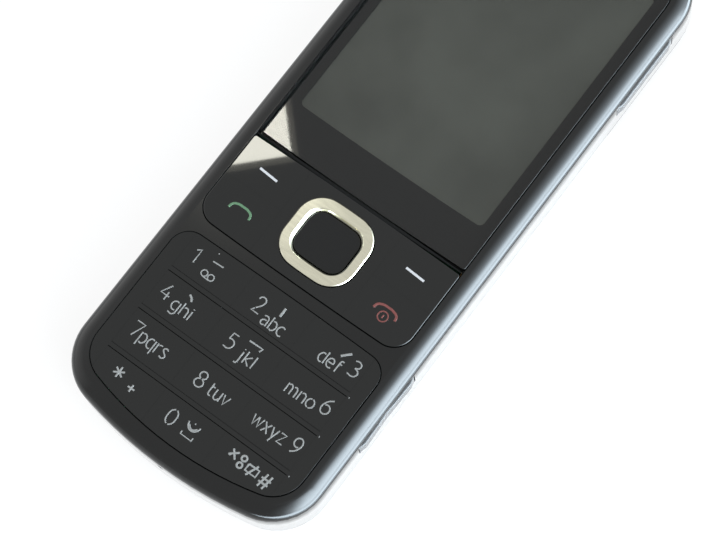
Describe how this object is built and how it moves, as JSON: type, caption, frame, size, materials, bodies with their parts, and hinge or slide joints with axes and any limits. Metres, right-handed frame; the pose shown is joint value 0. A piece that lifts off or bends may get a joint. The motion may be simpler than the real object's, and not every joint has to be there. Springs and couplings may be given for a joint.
{
  "type": "feature phone",
  "caption": "Slim candybar feature phone with a large display window, a bright square navigation ring, flush number keys parted by fine bars, side keys and a sliding rear cover.",
  "frame": {"origin": "centre of the underside, on the flat back that the phone lies on", "axes": "+X to the right seen from the front, +Y along the length towards the earpiece end, +Z out of the display"},
  "size_m": [0.0449, 0.1114, 0.0112],
  "materials": {
    "frame_metal": "dark satin metal",
    "flank_metal": "satin",
    "cover_steel": "fine brushed, dark",
    "top_panel": "dark gloss",
    "lens": "clear, tinted",
    "print_black": "dark print",
    "grille_steel": "perforated",
    "key_panel": "dark satin gloss",
    "ring_chrome": "warm satin chrome",
    "centre_gloss": "dark gloss",
    "rubber": "silicone",
    "side_key_metal": "satin",
    "dome_steel": "bright",
    "flex_amber": "flexible film",
    "board_green": "board",
    "sheet_steel": "pressed sheet",
    "display_grey": "display, off",
    "part_black": "moulded",
    "weight_metal": "dense metal",
    "camera_glass": "dark window",
    "flash_clear": "pale lamp",
    "battery_wrap": "wrapped cell",
    "contact_gold": "gilt",
    "card_white": "card"
  },
  "bodies": {
    "phone_body": {"front_frame": "frame_metal", "chassis": "flank_metal", "rear_top_panel": "top_panel", "display_lens": "lens", "display_mask": "print_black", "earpiece_grille": "grille_steel", "nav_surround": "key_panel", "keypad_ladder": "key_panel", "key_mat": "rubber", "dome_sheet": "dome_steel", "side_switch_strip": "flex_amber", "main_board": "board_green", "shield_cans": "sheet_steel", "display_module": "display_grey", "display_holder": "sheet_steel", "display_flex": "flex_amber", "earpiece": "part_black", "loudspeaker": "part_black", "microphone": "sheet_steel", "vibration_motor": "sheet_steel", "camera_module": "part_black", "camera_window": "camera_glass", "flash_lamp": "flash_clear", "battery": "battery_wrap", "battery_contacts": "contact_gold", "sim_card": "card_white", "sim_holder": "sheet_steel", "memory_card": "part_black", "card_holder": "sheet_steel", "usb_socket": "sheet_steel", "charger_jack": "part_black", "antenna": "contact_gold", "board_screws": "sheet_steel"},
    "rear_cover": {"rear_cover": "cover_steel"},
    "nav_ring": {"nav_ring": "ring_chrome"},
    "ring_gimbal": {"ring_gimbal": "rubber"},
    "volume_rocker": {"volume_rocker": "side_key_metal"},
    "camera_key": {"camera_key": "side_key_metal"},
    "vibration_weight": {"vibration_weight": "weight_metal"},
    "left_soft_key": {"left_soft_key": "key_panel"},
    "right_soft_key": {"right_soft_key": "key_panel"},
    "call_key": {"call_key": "key_panel"},
    "end_key": {"end_key": "key_panel"},
    "centre_key": {"centre_key": "centre_gloss"},
    "key_1": {"key_1": "key_panel"},
    "key_2": {"key_2": "key_panel"},
    "key_3": {"key_3": "key_panel"},
    "key_4": {"key_4": "key_panel"},
    "key_5": {"key_5": "key_panel"},
    "key_6": {"key_6": "key_panel"},
    "key_7": {"key_7": "key_panel"},
    "key_8": {"key_8": "key_panel"},
    "key_9": {"key_9": "key_panel"},
    "key_star": {"key_star": "key_panel"},
    "key_0": {"key_0": "key_panel"},
    "key_hash": {"key_hash": "key_panel"}
  },
  "joints": [
    {"name": "key_1_press", "type": "slide", "parent": "phone_body", "child": "key_1", "axis": [0, 0, -1], "range_m": [0, 0.00025], "stiffness_N_per_m": 2000},
    {"name": "key_2_press", "type": "slide", "parent": "phone_body", "child": "key_2", "axis": [0, 0, -1], "range_m": [0, 0.00025], "stiffness_N_per_m": 2000},
    {"name": "key_3_press", "type": "slide", "parent": "phone_body", "child": "key_3", "axis": [0, 0, -1], "range_m": [0, 0.00025], "stiffness_N_per_m": 2000},
    {"name": "key_4_press", "type": "slide", "parent": "phone_body", "child": "key_4", "axis": [0, 0, -1], "range_m": [0, 0.00025], "stiffness_N_per_m": 2000},
    {"name": "key_5_press", "type": "slide", "parent": "phone_body", "child": "key_5", "axis": [0, 0, -1], "range_m": [0, 0.00025], "stiffness_N_per_m": 2000},
    {"name": "key_6_press", "type": "slide", "parent": "phone_body", "child": "key_6", "axis": [0, 0, -1], "range_m": [0, 0.00025], "stiffness_N_per_m": 2000},
    {"name": "key_7_press", "type": "slide", "parent": "phone_body", "child": "key_7", "axis": [0, 0, -1], "range_m": [0, 0.00025], "stiffness_N_per_m": 2000},
    {"name": "key_8_press", "type": "slide", "parent": "phone_body", "child": "key_8", "axis": [0, 0, -1], "range_m": [0, 0.00025], "stiffness_N_per_m": 2000},
    {"name": "key_9_press", "type": "slide", "parent": "phone_body", "child": "key_9", "axis": [0, 0, -1], "range_m": [0, 0.00025], "stiffness_N_per_m": 2000},
    {"name": "key_star_press", "type": "slide", "parent": "phone_body", "child": "key_star", "axis": [0, 0, -1], "range_m": [0, 0.00025], "stiffness_N_per_m": 2000},
    {"name": "key_0_press", "type": "slide", "parent": "phone_body", "child": "key_0", "axis": [0, 0, -1], "range_m": [0, 0.00025], "stiffness_N_per_m": 2000},
    {"name": "key_hash_press", "type": "slide", "parent": "phone_body", "child": "key_hash", "axis": [0, 0, -1], "range_m": [0, 0.00025], "stiffness_N_per_m": 2000},
    {"name": "left_soft_key_press", "type": "slide", "parent": "phone_body", "child": "left_soft_key", "axis": [0, 0, -1], "range_m": [0, 0.00025], "stiffness_N_per_m": 2000},
    {"name": "right_soft_key_press", "type": "slide", "parent": "phone_body", "child": "right_soft_key", "axis": [0, 0, -1], "range_m": [0, 0.00025], "stiffness_N_per_m": 2000},
    {"name": "call_key_press", "type": "slide", "parent": "phone_body", "child": "call_key", "axis": [0, 0, -1], "range_m": [0, 0.00025], "stiffness_N_per_m": 2000},
    {"name": "end_key_press", "type": "slide", "parent": "phone_body", "child": "end_key", "axis": [0, 0, -1], "range_m": [0, 0.00025], "stiffness_N_per_m": 2000},
    {"name": "centre_key_press", "type": "slide", "parent": "phone_body", "child": "centre_key", "axis": [0, 0, -1], "range_m": [0, 0.00025], "stiffness_N_per_m": 2000},
    {"name": "ring_tilt_up_down", "type": "hinge", "parent": "phone_body", "child": "ring_gimbal", "pos_m": [0, -0.01455, 0.0097], "axis": [1, 0, 0], "range_deg": [-1.5, 1.5], "stiffness_Nm_per_rad": 0.05},
    {"name": "ring_tilt_sideways", "type": "hinge", "parent": "ring_gimbal", "child": "nav_ring", "pos_m": [0, -0.01455, 0.0097], "axis": [0, 1, 0], "range_deg": [-1.5, 1.5], "stiffness_Nm_per_rad": 0.05},
    {"name": "volume_rock", "type": "hinge", "parent": "phone_body", "child": "volume_rocker", "pos_m": [0.0199, 0.0355, 0.0069], "axis": [0, 0, 1], "range_deg": [-2, 2], "stiffness_Nm_per_rad": 0.08},
    {"name": "camera_key_press", "type": "slide", "parent": "phone_body", "child": "camera_key", "axis": [-1, 0, 0], "range_m": [0, 0.0003], "stiffness_N_per_m": 2000},
    {"name": "rear_cover_slide", "type": "slide", "parent": "phone_body", "child": "rear_cover", "axis": [0, -1, 0], "range_m": [0, 0.005]},
    {"name": "weight_spin", "type": "hinge", "parent": "phone_body", "child": "vibration_weight", "pos_m": [0.006, 0.0316, 0.0034], "axis": [1, 0, 0], "continuous": true}
  ]
}
